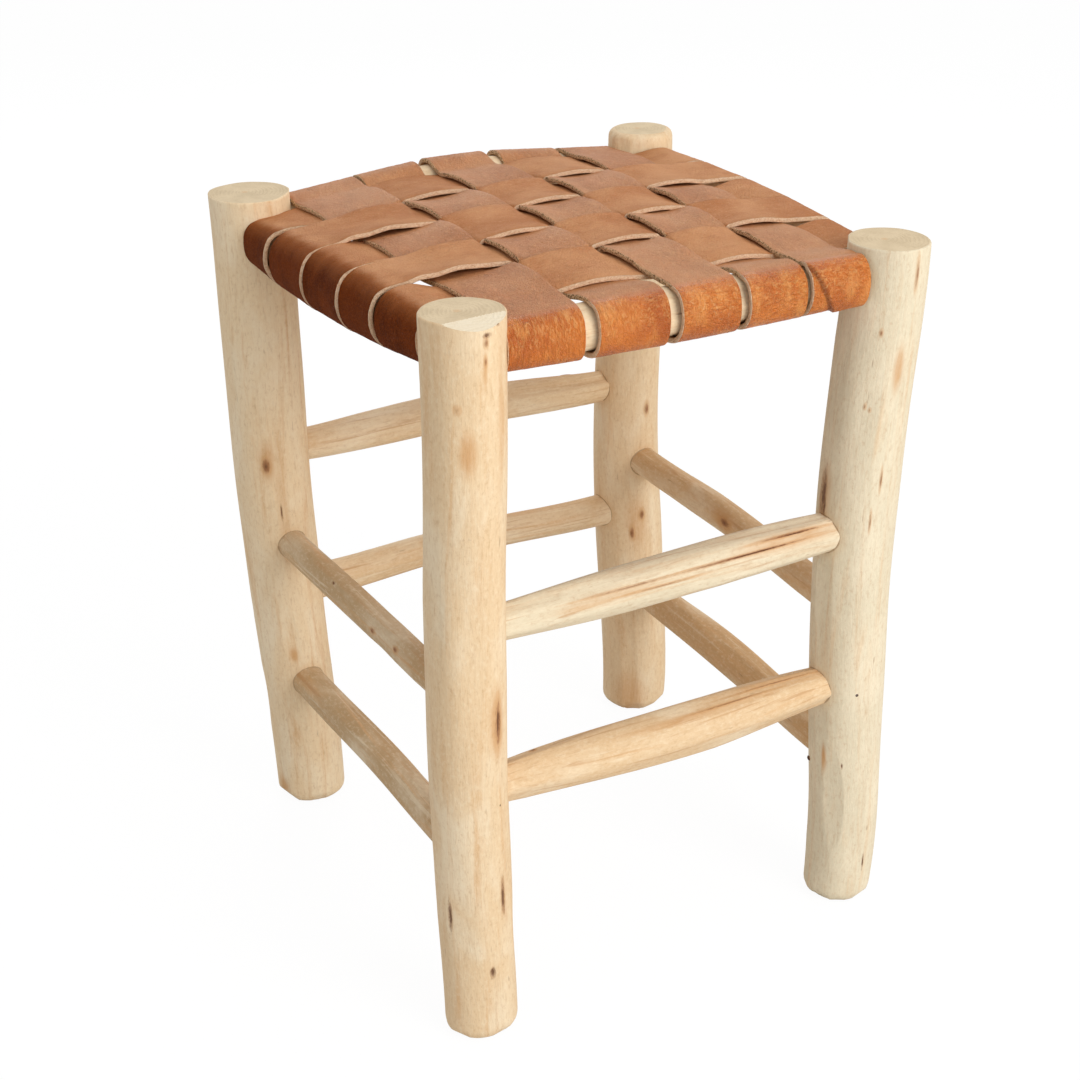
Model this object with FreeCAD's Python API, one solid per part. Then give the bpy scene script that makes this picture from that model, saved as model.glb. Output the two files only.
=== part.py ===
import FreeCAD, Part
import math
import os

from FreeCAD import Vector

# Millimetres, +Z up, the front faces -Y, the origin is on the floor under the middle.

# Legs: offset of the centre of foot and top from the corner of the seat, height, side bow
# and where it is widest, and the radius at the foot, at the bow and at the top.
legs = {
    "front_left": {
        "foot": (1.25, -0.75), "top": (3.75, 1.75), "height": 452.5,
        "bow": (-2.9, 1.5), "bow_height": 190.0, "radii": (22.0, 22.4, 22.3),
    },
    "back_left": {
        "foot": (2.25, 2.25), "top": (-9.25, -0.75), "height": 448.0,
        "bow": (-3.9, 2.0), "bow_height": 250.0, "radii": (23.8, 24.9, 25.2),
    },
    "front_right": {
        "foot": (-3.25, 1.25), "top": (-2.75, 2.25), "height": 449.0,
        "bow": (-5.6, 3.0), "bow_height": 282.0, "radii": (21.8, 24.0, 23.2),
    },
    "back_right": {
        "foot": (0.75, -3.75), "top": (0.75, -0.25), "height": 453.5,
        "bow": (-6.8, 3.6), "bow_height": 260.0, "radii": (24.3, 24.0, 21.9),
    },
}
foot_round = 8.0
top_round = 2.5

# Rungs: the two legs they join, axis height at each, radius at the ends and in the
# middle, and how far the middle bows.
rungs = {
    "front_upper": {
        "legs": ("front_left", "front_right"), "heights": (271.0, 271.0),
        "radii": (10.6, 13.4, 12.0), "bow": (0.0, 0.0, 0.0),
    },
    "front_lower": {
        "legs": ("front_left", "front_right"), "heights": (166.5, 164.0),
        "radii": (11.5, 16.2, 11.7), "bow": (0.0, 0.0, -2.5),
    },
    "left_upper": {
        "legs": ("back_left", "front_left"), "heights": (211.5, 222.5),
        "radii": (9.8, 9.6, 9.4), "bow": (0.0, 0.0, 0.6),
    },
    "left_lower": {
        "legs": ("back_left", "front_left"), "heights": (103.0, 120.0),
        "radii": (11.0, 11.1, 10.8), "bow": (0.0, 0.0, 2.5),
    },
    "back_upper": {
        "legs": ("back_left", "back_right"), "heights": (272.5, 269.5),
        "radii": (11.0, 13.4, 11.0), "bow": (0.0, 0.0, 3.0),
    },
    "back_lower": {
        "legs": ("back_left", "back_right"), "heights": (167.5, 170.5),
        "radii": (12.2, 11.2, 11.6), "bow": (0.0, 0.0, 4.0),
    },
    "right_upper": {
        "legs": ("back_right", "front_right"), "heights": (214.0, 211.5),
        "radii": (10.3, 10.8, 10.6), "bow": (0.0, 0.0, 3.5),
    },
    "right_lower": {
        "legs": ("back_right", "front_right"), "heights": (108.5, 104.0),
        "radii": (11.5, 13.4, 11.5), "bow": (0.0, 0.0, 3.2),
    },
}
rung_tenon_depth = 30.0

# Seat rails: the same kind of stick, with a thinner and shorter tenon because two of
# them meet in every leg at nearly one height.
rails = {
    "front": {
        "legs": ("front_left", "front_right"), "heights": (432.0, 430.5),
        "radii": (11.4, 13.6, 11.4), "bow": (0.0, 0.0, 0.0),
    },
    "back": {
        "legs": ("back_left", "back_right"), "heights": (429.0, 429.5),
        "radii": (11.4, 14.4, 11.4), "bow": (0.0, 1.0, 5.5),
    },
    "left": {
        "legs": ("back_left", "front_left"), "heights": (421.5, 432.5),
        "radii": (12.0, 17.0, 12.0), "bow": (0.5, 0.0, 0.0),
    },
    "right": {
        "legs": ("back_right", "front_right"), "heights": (431.0, 426.0),
        "radii": (11.4, 14.4, 11.4), "bow": (2.0, 0.0, 0.0),
    },
}
rail_tenon_radius = 9.5
rail_tenon_depth = 11.0

# Joints between sticks and legs
stick_sections = 5
shoulder_gap = 0.6
tenon_fit = 0.15
mortise_end_gap = 0.3

# Leather straps, woven one over and one under. Side straps run from the left rail to
# the right rail, long straps from the front rail to the back rail.
strap_count = 5
strap_thickness = 2.5
side_width = 41.5
side_space = 4.0
side_pitch = side_width + side_space
side_middle = -2.0
long_width = 39.5
long_space = 5.0
long_pitch = long_width + long_space
long_middle = 5.0
seat_half_x = strap_count * long_pitch / 2
seat_half_y = strap_count * side_pitch / 2
corner_margin = 25.0
strap_gap = 0.3
seat_sag = 1.5
bend_radius = 2.5
bend_start = 0.6
tuck_angle = 232.0
smallest_rounded_turn = math.radians(4.0)

# Tacks through the tucked strap ends, and the blunt tip of tacks and nails
point_radius = 0.15
tack_angle = 203.0
tacks_per_end = 2
tack_head_radius = 3.0
tack_head_height = 1.1
tack_head_round = 0.8
tack_shank_radius = 0.9
tack_length = 11.0
tack_point = 2.5
tack_fit = 0.06

# Nails that pin the lower rungs in the legs
nail_head_radius = 1.7
nail_head_height = 0.8
nail_shank_radius = 1.0
nail_length = 30.0
nail_point = 3.0
nail_sink = 0.6
nail_offset = 8.0
nail_fit = 0.08
nail_sides = {
    "front_lower": (0, -1, 0),
    "left_lower": (1, 0, 0),
    "back_lower": (0, 1, 0),
    "right_lower": (-1, 0, 0),
}


def quadratic(points, at):
    (a, value_a), (b, value_b), (c, value_c) = points
    first = (value_b - value_a) / (b - a)
    second = ((value_c - value_b) / (c - b) - first) / (c - a)
    return value_a + first * (at - a) + second * (at - a) * (at - b)


# Legs
def leg_centre(name, height):
    leg = legs[name]
    out_x = seat_half_x + corner_margin
    out_y = seat_half_y + corner_margin
    corner_x = long_middle + (out_x if name.endswith("right") else -out_x)
    corner_y = side_middle + (out_y if name.startswith("back") else -out_y)
    foot = Vector(corner_x, corner_y, 0) + Vector(*leg["foot"])
    top = Vector(corner_x, corner_y, 0) + Vector(*leg["top"])
    above = (leg["height"] - height) / (leg["height"] - leg["bow_height"])
    bend = min(height / leg["bow_height"], above)
    centre = foot + (top - foot) * (height / leg["height"]) + Vector(*leg["bow"]) * bend
    return Vector(centre.x, centre.y, height)


def leg_radius(name, height):
    leg = legs[name]
    foot, bowed, top = leg["radii"]
    return quadratic([(0.0, foot), (leg["bow_height"], bowed), (leg["height"], top)], height)


def circle_wire(centre, normal, radius):
    return Part.Wire(Part.makeCircle(radius, centre, normal))


def leg_blank(name):
    height = legs[name]["height"]
    bow_height = legs[name]["bow_height"]
    sections = []
    for level in (0, bow_height / 2, bow_height, (bow_height + height) / 2, height):
        sections.append(circle_wire(leg_centre(name, level), Vector(0, 0, 1), leg_radius(name, level)))
    blank = Part.makeLoft(sections, True, False)
    foot_edges = [edge for edge in blank.Edges if edge.BoundBox.ZMax < 1.0]
    top_edges = [edge for edge in blank.Edges if edge.BoundBox.ZMin > height - 1.0]
    return blank.makeFillet(foot_round, foot_edges).makeFillet(top_round, top_edges)


# Sticks: rungs and seat rails
def stick_line(stick):
    start = leg_centre(stick["legs"][0], stick["heights"][0])
    end = leg_centre(stick["legs"][1], stick["heights"][1])
    length = (end - start).Length
    reach = [leg_radius(leg, height) for leg, height in zip(stick["legs"], stick["heights"])]
    return start, (end - start).normalize(), length, reach


def stick_section(stick, share):
    start, axis, length, reach = stick_line(stick)
    first = reach[0] + shoulder_gap
    body = length - first - reach[1] - shoulder_gap
    swell = math.sin(math.pi * share) ** 2
    centre = start + axis * (first + body * share) + Vector(*stick["bow"]) * swell
    near, middle, far = stick["radii"]
    return centre, quadratic([(0.0, near), (0.5, middle), (1.0, far)], share)


def tenon_ends(stick, depth):
    start, axis, length, reach = stick_line(stick)
    end = start + axis * length
    return [
        (start + axis * (reach[0] - depth), axis, depth + shoulder_gap),
        (end - axis * (reach[1] - depth), axis * -1, depth + shoulder_gap),
    ]


def stick_solid(stick, tenon_radii, depth):
    axis = stick_line(stick)[1]
    sections = []
    for step in range(stick_sections):
        centre, radius = stick_section(stick, step / (stick_sections - 1))
        sections.append(circle_wire(centre, axis, radius))
    solid = Part.makeLoft(sections, True, False)
    for (base, direction, length), radius in zip(tenon_ends(stick, depth), tenon_radii):
        solid = solid.fuse(Part.makeCylinder(radius, length, base, direction))
    return solid


def mortises(stick, tenon_radii, depth):
    holes = {}
    ends = tenon_ends(stick, depth)
    for leg, (base, direction, length), radius in zip(stick["legs"], ends, tenon_radii):
        start = base - direction * mortise_end_gap
        holes[leg] = Part.makeCylinder(radius + tenon_fit, length + depth, start, direction)
    return holes


# Turned fasteners: head up on +Z, the seat of the head at the origin
def upright(radius, low, high):
    return Part.makeCylinder(radius, high - low, Vector(0, 0, low))


def fastener(head_radius, head_height, shank_radius, length, point, edge_round):
    head = upright(head_radius, 0, head_height)
    if edge_round:
        rim = [edge for edge in head.Edges if edge.BoundBox.ZMin > head_height - 0.01]
        head = head.makeFillet(edge_round, rim)
    shank = upright(shank_radius, point - length, 0)
    tip = Part.makeCone(point_radius, shank_radius, point, Vector(0, 0, -length))
    return head.fuse(shank).fuse(tip).removeSplitter()


def placed(shape, seat, outward):
    copy = shape.copy()
    copy.Placement = FreeCAD.Placement(seat, FreeCAD.Rotation(Vector(0, 0, 1), outward))
    return copy


# Seat rails at a strap: position along the strap's run, height and radius
def rail_at(name, across):
    stick = rails[name]
    runs_along = 0 if name in ("front", "back") else 1
    low = stick_section(stick, 0.0)[0][runs_along]
    high = stick_section(stick, 1.0)[0][runs_along]
    centre, radius = stick_section(stick, (across - low) / (high - low))
    return centre[1 - runs_along], centre.z, radius


def strap_places(middle, pitch):
    return [middle + pitch * (number - (strap_count - 1) / 2) for number in range(strap_count)]


side_places = strap_places(side_middle, side_pitch)
long_places = strap_places(long_middle, long_pitch)


# Height of the weave between the two families of straps
def run_height(first_rail, last_rail, across, along):
    ends = []
    for rail in (first_rail, last_rail):
        place, height, radius = rail_at(rail, across)
        ends.append((place, height + radius + strap_gap + strap_thickness / 2))
    (near, near_height), (far, far_height) = ends
    return near_height + (far_height - near_height) * (along - near) / (far - near)


def weave_height(x, y):
    side = run_height("left", "right", y, x)
    front_to_back = run_height("front", "back", x, y)
    dip_x = 1 - ((x - long_middle) / seat_half_x) ** 2
    dip_y = 1 - ((y - side_middle) / seat_half_y) ** 2
    return (side + front_to_back) / 2 - seat_sag * dip_x * dip_y


families = {
    "side": {
        "rails": ("left", "right"), "places": side_places, "width": side_width,
        "crossed": long_places, "crossed_width": long_width, "over_on": 1,
    },
    "long": {
        "rails": ("front", "back"), "places": long_places, "width": long_width,
        "crossed": side_places, "crossed_width": side_width, "over_on": 0,
    },
}


def in_space(family, along, across, height):
    if family == "side":
        return Vector(along, across, height)
    return Vector(across, along, height)


def weave_corners(family, number, across):
    data = families[family]
    corners = []
    for crossing, place in enumerate(data["crossed"]):
        over = (number + crossing) % 2 == data["over_on"]
        lift = (strap_thickness + strap_gap) / 2 * (1 if over else -1)
        half = data["crossed_width"] / 2 + bend_start
        for along in (place - half, place + half):
            spot = in_space(family, along, across, 0)
            corners.append((along, weave_height(spot.x, spot.y) + lift))
    return corners


def wrap_circle(rail, across):
    place, height, radius = rail_at(rail, across)
    return (place, height), radius + strap_gap + strap_thickness / 2


def heading(start, end):
    return math.atan2(end[1] - start[1], end[0] - start[0])


def strap_headings(family, number, across):
    data = families[family]
    corners = weave_corners(family, number, across)
    near, near_radius = wrap_circle(data["rails"][0], across)
    far, far_radius = wrap_circle(data["rails"][1], across)
    leave = heading(near, corners[0]) - math.asin(near_radius / math.dist(near, corners[0]))
    arrive = heading(corners[-1], far) + math.asin(far_radius / math.dist(far, corners[-1]))
    between = [heading(a, b) for a, b in zip(corners, corners[1:])]
    return [leave] + between + [arrive]


def on_circle(centre, radius, angle):
    return centre[0] + radius * math.cos(angle), centre[1] + radius * math.sin(angle)


def arc_points(centre, radius, start, end):
    return [on_circle(centre, radius, angle) for angle in (start, (start + end) / 2, end)]


# One face of a strap seen from its edge: arcs as three points, plain corners as one
def strap_face(family, number, across, offset, rounded):
    data = families[family]
    corners = weave_corners(family, number, across)
    headings = strap_headings(family, number, across)
    quarter = math.pi / 2
    tuck = math.radians(tuck_angle)
    face = []
    centre, radius = wrap_circle(data["rails"][0], across)
    top = headings[0] + quarter
    tail = quarter + tuck
    side = (top + tail) / 2
    face.append(arc_points(centre, radius + offset, tail, side))
    face.append(arc_points(centre, radius + offset, side, top))
    for corner, before, after, is_round in zip(corners, headings, headings[1:], rounded):
        half_turn = (after - before) / 2
        if is_round:
            turn = 1 if half_turn > 0 else -1
            back = bend_radius * math.tan(abs(half_turn))
            entry = on_circle(corner, -back, before)
            middle = on_circle(entry, turn * bend_radius, before + quarter)
            reach = bend_radius - turn * offset
            face.append(arc_points(middle, reach, before - turn * quarter, after - turn * quarter))
        else:
            face.append([on_circle(corner, offset / math.cos(half_turn), before + half_turn + quarter)])
    centre, radius = wrap_circle(data["rails"][1], across)
    top = headings[-1] + quarter
    tail = quarter - tuck
    side = (top + tail) / 2
    face.append(arc_points(centre, radius + offset, top, side))
    face.append(arc_points(centre, radius + offset, side, tail))
    return face


def strap_outline(family, number, across, rounded):
    outer = strap_face(family, number, across, strap_thickness / 2, rounded)
    inner = strap_face(family, number, across, -strap_thickness / 2, rounded)
    loop = outer + [part[::-1] for part in inner[::-1]]
    edges = []
    for part, following in zip(loop, loop[1:] + loop[:1]):
        points = [in_space(family, along, across, height) for along, height in part]
        if len(points) == 3:
            edges.append(Part.Arc(*points).toShape())
        after = in_space(family, following[0][0], across, following[0][1])
        if points[-1].distanceToPoint(after) > 0.001:
            edges.append(Part.makeLine(points[-1], after))
    return Part.Wire(edges)


def strap_solid(family, number):
    data = families[family]
    place = data["places"][number]
    headings = strap_headings(family, number, place)
    turns = [abs(after - before) for before, after in zip(headings, headings[1:])]
    rounded = [turn > smallest_rounded_turn for turn in turns]
    edges = [place - data["width"] / 2, place + data["width"] / 2]
    outlines = [strap_outline(family, number, edge, rounded) for edge in edges]
    return Part.makeLoft(outlines, True, True)


# Tack seats on the outside of one tucked strap end
def tack_seats(family, number, end):
    data = families[family]
    place = data["places"][number]
    half = data["width"] / 2
    near, near_radius = wrap_circle(data["rails"][end], place - half)
    far, far_radius = wrap_circle(data["rails"][end], place + half)
    angle = math.pi / 2 + math.radians(tack_angle) * (1 if end == 0 else -1)
    seats = []
    for tack in range(tacks_per_end):
        share = (tack + 0.5) / tacks_per_end
        centre = [a + (b - a) * share for a, b in zip(near, far)]
        radius = near_radius + (far_radius - near_radius) * share + strap_thickness / 2
        across = place + half * (2 * share - 1)
        along, height = on_circle(centre, radius + tack_fit, angle)
        outward = in_space(family, math.cos(angle), 0, math.sin(angle))
        seats.append((in_space(family, along, across, height), outward))
    return seats


# Nail seats on the legs at both ends of one lower rung, driven square to the rung
def nail_seats(stick, outward):
    start, axis, length, reach = stick_line(stick)
    tenon_places = [start + axis * nail_offset, start + axis * (length - nail_offset)]
    seats = []
    for place, radius in zip(tenon_places, reach):
        surface = math.sqrt(radius ** 2 - nail_offset ** 2)
        seats.append((place + outward * (surface - nail_sink - nail_head_height), outward))
    return seats


def build():
    pieces = {}
    leg_cuts = {name: [] for name in legs}

    tack_sizes = (tack_head_radius, tack_head_height, tack_shank_radius, tack_length, tack_point)
    tack = fastener(*tack_sizes, tack_head_round)
    tack_hole = upright(tack_shank_radius + tack_fit, -tack_length - tack_fit, tack_length)
    nail_sizes = (nail_head_radius, nail_head_height, nail_shank_radius, nail_length, nail_point)
    nail = fastener(*nail_sizes, 0)
    nail_hole = upright(nail_shank_radius + nail_fit, -nail_length - nail_fit, 0)
    nail_hole = nail_hole.fuse(upright(nail_head_radius + nail_fit, -nail_fit, nail_length))

    joint_nails = []
    for name, stick in rungs.items():
        tenon_radii = (stick["radii"][0], stick["radii"][2])
        solid = stick_solid(stick, tenon_radii, rung_tenon_depth)
        for leg, hole in mortises(stick, tenon_radii, rung_tenon_depth).items():
            leg_cuts[leg].append(hole)
        if name in nail_sides:
            seats = nail_seats(stick, Vector(*nail_sides[name]))
            for leg, (seat, outward) in zip(stick["legs"], seats):
                hole = placed(nail_hole, seat, outward)
                joint_nails.append(placed(nail, seat, outward))
                leg_cuts[leg].append(hole)
                solid = solid.cut(hole)
        pieces["rung_" + name] = solid

    rail_cuts = {name: [] for name in rails}
    for family, data in families.items():
        for number in range(strap_count):
            strap = strap_solid(family, number)
            for end, rail in enumerate(data["rails"]):
                for seat, outward in tack_seats(family, number, end):
                    hole = placed(tack_hole, seat, outward)
                    pieces.setdefault("tacks_" + rail, []).append(placed(tack, seat, outward))
                    rail_cuts[rail].append(hole)
                    strap = strap.cut(hole)
            pieces["strap_" + family + "_" + str(number + 1)] = strap

    for name, stick in rails.items():
        tenon_radii = (rail_tenon_radius, rail_tenon_radius)
        for leg, hole in mortises(stick, tenon_radii, rail_tenon_depth).items():
            leg_cuts[leg].append(hole)
        solid = stick_solid(stick, tenon_radii, rail_tenon_depth)
        pieces["seat_rail_" + name] = solid.cut(rail_cuts[name])

    for name in legs:
        pieces["leg_" + name] = leg_blank(name).cut(leg_cuts[name])

    pieces["joint_nails"] = joint_nails
    return pieces


os.makedirs("parts", exist_ok=True)
for node, shape in build().items():
    if isinstance(shape, list):
        shape = Part.makeCompound(shape)
    shape.exportStep("parts/" + node + ".step")
    print(node, len(shape.Solids), shape.isValid(), round(shape.Volume / 1000, 2))
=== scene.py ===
import math
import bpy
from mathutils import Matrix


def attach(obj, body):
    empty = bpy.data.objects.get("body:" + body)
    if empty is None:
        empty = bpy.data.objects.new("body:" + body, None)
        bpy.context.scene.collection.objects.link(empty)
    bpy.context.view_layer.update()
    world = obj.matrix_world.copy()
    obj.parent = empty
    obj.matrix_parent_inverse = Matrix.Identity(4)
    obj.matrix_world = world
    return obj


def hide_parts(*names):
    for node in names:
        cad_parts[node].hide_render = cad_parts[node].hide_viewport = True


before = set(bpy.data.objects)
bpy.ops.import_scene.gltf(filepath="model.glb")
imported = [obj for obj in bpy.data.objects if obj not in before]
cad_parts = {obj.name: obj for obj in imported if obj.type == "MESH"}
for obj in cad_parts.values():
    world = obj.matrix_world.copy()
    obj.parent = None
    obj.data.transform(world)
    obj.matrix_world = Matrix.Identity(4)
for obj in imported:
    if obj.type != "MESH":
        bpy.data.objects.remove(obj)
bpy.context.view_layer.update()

from types import SimpleNamespace

import bpy
import numpy as np
from mathutils import Matrix, Vector

scene = bpy.context.scene


def operator(operation, swapped=False):
    def applied(self, other):
        return self.maths(operation, *((other, self) if swapped else (self, other)))
    return applied


class Wire:  # a node socket that can stand in a sum
    def __init__(self, tree, socket=None):
        self.tree = tree
        self.socket = socket

    def node(self, kind, links=None, out=0, **settings):
        made = self.tree.nodes.new(kind)
        for name, value in settings.items():
            setattr(made, name, value)
        for key, value in (links or {}).items():
            if isinstance(value, Wire):
                self.tree.links.new(value.socket, made.inputs[key])
            else:
                made.inputs[key].default_value = value
        return Wire(self.tree, made.outputs[out])

    def maths(self, operation, *values):
        return self.node("ShaderNodeMath", dict(enumerate(values)), operation=operation)

    __add__, __radd__ = operator("ADD"), operator("ADD", True)
    __sub__, __rsub__ = operator("SUBTRACT"), operator("SUBTRACT", True)
    __mul__, __rmul__ = operator("MULTIPLY"), operator("MULTIPLY", True)
    __truediv__, __pow__ = operator("DIVIDE"), operator("POWER")


def function(operation):
    return lambda value, *others: value.maths(operation, value, *others)


least, most, sine, cosine, size = map(function, ("MINIMUM", "MAXIMUM", "SINE", "COSINE", "ABSOLUTE"))


def held(value, low=0, high=1):  # kept between two limits
    return least(most(value, low), high)


def rise(value, low, high):  # 0 below low, 1 above high, smooth between
    return value.node("ShaderNodeMapRange", {"Value": value, "From Min": low, "From Max": high},
                      interpolation_type="SMOOTHSTEP")


def fall(value, low, high):
    return 1 - rise(value, low, high)


def between(near, far, share):
    return near + (far - near) * share


def vector(x, y, z):
    maker = next(v for v in (x, y, z) if isinstance(v, Wire))
    return maker.node("ShaderNodeCombineXYZ", {0: x, 1: y, 2: z})


def part(wire, axis):
    return wire.node("ShaderNodeSeparateXYZ", {0: wire}, out=axis)


def parts(wire):
    return [part(wire, axis) for axis in range(3)]


def vectorMaths(operation, wire, other):
    return wire.node("ShaderNodeVectorMath", {0: wire, 1: other}, operation=operation)


def noise(at, scale, detail=2, roughness=0.5, twist=0):  # one scale, or one for each axis
    if isinstance(scale, tuple):
        at, scale = vectorMaths("MULTIPLY", at, scale), 1
    return at.node("ShaderNodeTexNoise", {
        "Vector": at, "Scale": scale, "Detail": detail, "Roughness": roughness, "Distortion": twist})


def blend(share, first, second):
    return share.node("ShaderNodeMix", {0: share, 6: first, 7: second}, 2, data_type="RGBA", clamp_factor=True)


def layered(look, colour, *coats):  # each coat: what it follows, from, to, strength, colour; or share, colour
    for *how, name in coats:
        share = rise(*how[:3]) * how[3] if how[1:] else how[0]
        colour = blend(share, colour, look[name])
    return colour


def tones(**colours):  # colours as they look on screen, made linear
    return {name: (*(((c / 255 + 0.055) / 1.055) ** 2.4 if c / 255 > 0.04045 else c / 255 / 12.92 for c in rgb), 1)
            for name, rgb in colours.items()}


def blankTree(owner):
    owner.use_nodes = True
    owner.node_tree.nodes.clear()
    return Wire(owner.node_tree)


def join(wire, socket):
    wire.tree.links.new(wire.socket, socket)


def show(wire, kind):
    join(wire, wire.tree.nodes.new(kind).inputs[0])


def newMaterial(name):
    material = bpy.data.materials.new(name)
    start = blankTree(material)
    shader = start.tree.nodes.new("ShaderNodeBsdfPrincipled")
    show(Wire(start.tree, shader.outputs[0]), "ShaderNodeOutputMaterial")
    return material, start, shader


def attribute(start, name):
    return start.node("ShaderNodeAttribute", out="Vector", attribute_name=name)


def dress(shader, colour, rough, height, bump):
    join(colour, shader.inputs["Base Color"])
    join(rough, shader.inputs["Roughness"])
    raised = height.node("ShaderNodeBump", {"Strength": bump[0], "Distance": bump[1], "Height": height})
    join(raised, shader.inputs["Normal"])


def addObject(name, data):
    made = bpy.data.objects.new(name, data)
    scene.collection.objects.link(made)
    return made


def camel(node):  # leg_front_left becomes legFrontLeft
    first, *rest = node.split("_")
    return first + "".join(word.capitalize() for word in rest)


def keepVectors(mesh, name, rows):  # one vector for each point
    rows = np.array(rows, np.float32)
    mesh.attributes.new(name, "FLOAT_VECTOR", "POINT").data.foreach_set("vector", rows.ravel())


def enlist(piece, node):
    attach(piece, "root")
    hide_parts(node)


# wood

woodLook = dict(
    tones(pale=(246, 222, 184), ash=(222, 211, 184), brown=(214, 172, 122), grey=(176, 152, 116),
            light=(251, 236, 207), streak=(222, 178, 128), fleck=(198, 158, 114), dash=(150, 108, 70),
            vein=(196, 146, 96), stain=(206, 150, 92), pit=(104, 68, 44), knot=(146, 92, 54), joint=(120, 88, 58),
            endPale=(230, 208, 172), endRing=(192, 164, 124), endGrey=(210, 188, 152), facet=(252, 242, 220)),
    ringGap=0.0024, heart=(0.0022, -0.0014, 0.0), roughness=0.68, shine=0.28, bump=(0.42, 0.0007),
)


def woodMaterial():
    look = woodLook
    material, start, shader = newMaterial("paleWood")
    grain = attribute(start, "grainCo")
    pit, stain, knot = parts(attribute(start, "marks"))
    cut, gap, depth = parts(attribute(start, "ends"))  # end grain, distance to a joint, tone of the stick, which above 1 adds painted shade

    streaks = noise(grain, (120, 120, 9), 4, 0.6, 0.8)
    fibres = noise(grain, (640, 640, 100), 3, 0.6, 0.5)
    hairs = noise(grain, (1700, 1700, 130), 2, 0.6)
    blotch = noise(grain, (38, 38, 16), 3, 0.55, 0.5)
    dashes = noise(grain, (280, 280, 48), 2, 0.65)
    ragged = noise(grain, (900, 900, 260), 3, 0.7) - 0.5
    grit = noise(grain, (460, 460, 300), 3, 0.7)
    veins = noise(grain, (300, 300, 11), 4, 0.6, 0.7)
    rung = rise(part(grain, 2), 15, 16)  # 1 on rungs and rails, 0 on legs
    ashen = held(depth * -1)
    knotEdge = knot + ragged * 0.7
    pitEdge = pit + ragged * 1.5

    body = layered(
        look, look["pale"],
        (held(depth), "brown"),
        # painted shade: a tone above 1 turns the stick a darker grey brown, for rungs that sit in shade
        (held(depth - 1), "grey"),
        (ashen, "ash"),
        (blotch, 0.42, 0.75, 0.5, "light"),
        (streaks, 0.5, 0.76, 0.75 - ashen * 0.4, "streak"),
        (fibres, 0.5, 0.8, 0.38, "fleck"),
        (hairs, 0.55, 0.8, 0.22, "fleck"),
        (grit, 0.48, 0.72, 0.28, "light"),
        (fall(grit, 0.28, 0.46) * 0.3, "fleck"),
        (dashes, 0.7, 0.79, 0.4, "dash"),
        (veins, 0.54, 0.72, 0.12 + rung * 0.5, "vein"),
        (fall(veins, 0.28, 0.42) * rung * 0.4, "light"),
        (held(stain * (0.35 + fibres * 0.6 + blotch * 0.4), 0, 0.9), "stain"),
        (knot + ragged * 0.5, -0.6, 0.1, 0.4, "stain"),
        (knotEdge, 0, 0.6, 0.8, "knot"),
        (knotEdge, 0.55, 0.95, 0.7, "pit"),
        (pitEdge, -0.45, 0.15, 0.45, "knot"),
        (pitEdge, 0.15, 0.65, 0.82, "pit"),
    )

    flat = vectorMaths("MULTIPLY", vectorMaths("ADD", grain, look["heart"]), (1, 1, 0))
    across = flat.node("ShaderNodeVectorMath", {0: flat}, "Value", operation="LENGTH")
    wobble = noise(flat, 110, 3, 0.55)
    rings = sine((across + (wobble - 0.5) * 0.006) * (2 * math.pi / look["ringGap"])) * 0.5 + 0.5
    saw = noise(grain, (120, 1500, 0), 2, 0.6)
    endFace = layered(
        look, look["endPale"],
        (noise(flat, 60), 0.35, 0.7, 0.6, "endGrey"),
        (rise(rings, 0.5, 1) * rise(wobble, 0.35, 0.6) * 0.24 + (saw - 0.5) * 0.3, "endRing"),
        (0.003 - across, 0, 0.0025, 0.5, "streak"),
    )
    endFace = blend(rise(cut, 1.4, 1.6), endFace, blend(saw, look["facet"], look["endPale"]))
    sawn = rise(cut, 0.4, 0.6)
    body = layered(
        look, blend(sawn, body, endFace),
        # painted shade: a dark ring at the joint line where a rung or rail enters a leg, and a softer darkening
        # within 6 mm of it
        (fall(size(gap + ragged * 0.7), 0.15, 0.8) * 0.6, "joint"),
        (fall(size(gap), 0, 6) * 0.2, "brown"),
    )

    rough = look["roughness"] + (fibres - 0.5) * 0.2 + sawn * 0.1
    height = fibres * 0.8 + grit * 0.8 + hairs * 0.35 + streaks * 0.35 - rise(dashes, 0.68, 0.8) * 0.4 \
        + rings * held(cut) * 0.3 - rise(pitEdge, 0, 0.5) * 1.1
    dress(shader, body, rough, height, look["bump"])
    shader.inputs["Specular IOR Level"].default_value = look["shine"]
    return material


paleWood = woodMaterial()

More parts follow.
